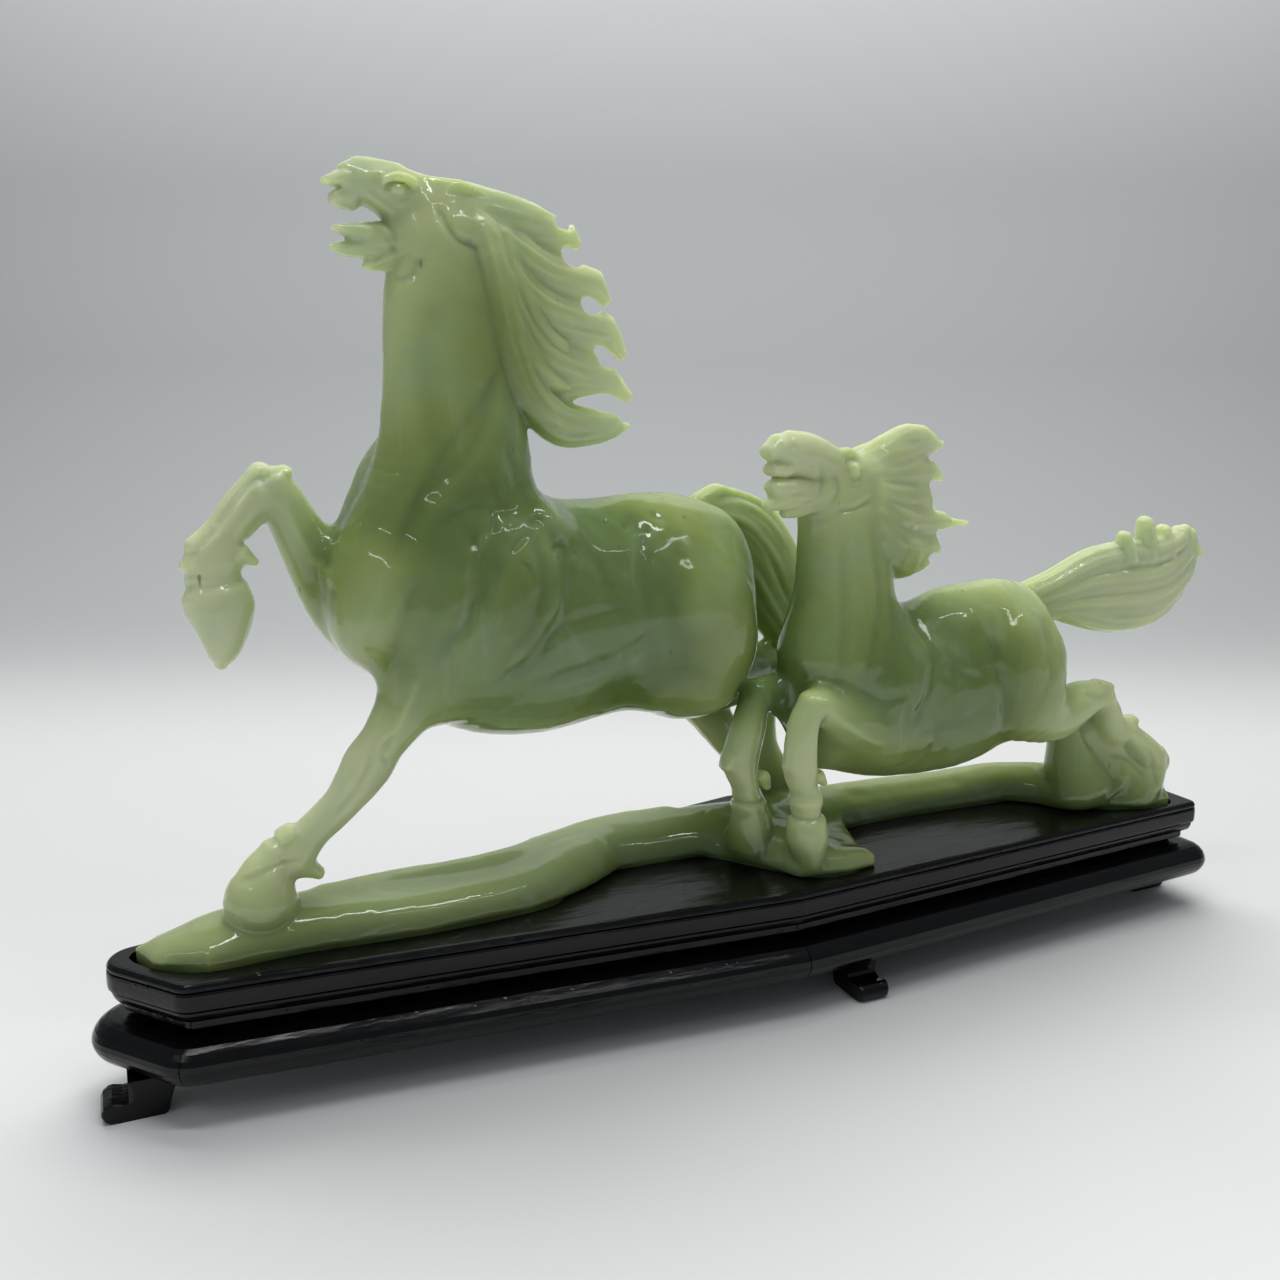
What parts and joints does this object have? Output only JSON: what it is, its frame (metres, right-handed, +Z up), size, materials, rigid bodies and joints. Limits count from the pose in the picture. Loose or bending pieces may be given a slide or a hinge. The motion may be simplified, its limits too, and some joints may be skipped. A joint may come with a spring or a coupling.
{
  "type": "jade figurine",
  "caption": "Jade carving of a galloping horse and foal on a winding ground strip, lifting out of the routed socket of a black lacquered six-sided wooden stand on bracket feet.",
  "frame": {"origin": "on the floor under the feet, at the centre of the footprint", "axes": "+Z up, the long axis along X with both horses galloping towards -X, -Y the front face of the stand"},
  "size_m": [0.3687, 0.0971, 0.2385],
  "materials": {
    "jade": "polished translucent pale green stone with whitish clouds, paler yellow-green where it is thin",
    "black_lacquer": "hand-brushed gloss black lacquer on hardwood"
  },
  "bodies": {
    "stand": {"top_board": "black_lacquer", "waist_front_left": "black_lacquer", "waist_front_right": "black_lacquer", "waist_right_end": "black_lacquer", "waist_back_right": "black_lacquer", "waist_back_left": "black_lacquer", "waist_left_end": "black_lacquer", "frame_front_left": "black_lacquer", "frame_front_right": "black_lacquer", "frame_right_end": "black_lacquer", "frame_back_right": "black_lacquer", "frame_back_left": "black_lacquer", "frame_left_end": "black_lacquer", "foot_left": "black_lacquer", "foot_right": "black_lacquer", "foot_front": "black_lacquer", "foot_back": "black_lacquer"},
    "carving": {"jade_carving": "jade"}
  },
  "joints": [
    {"name": "carving_lift", "type": "slide", "parent": "stand", "child": "carving", "axis": [0, 0, 1], "range_m": [0, 0.06]}
  ]
}
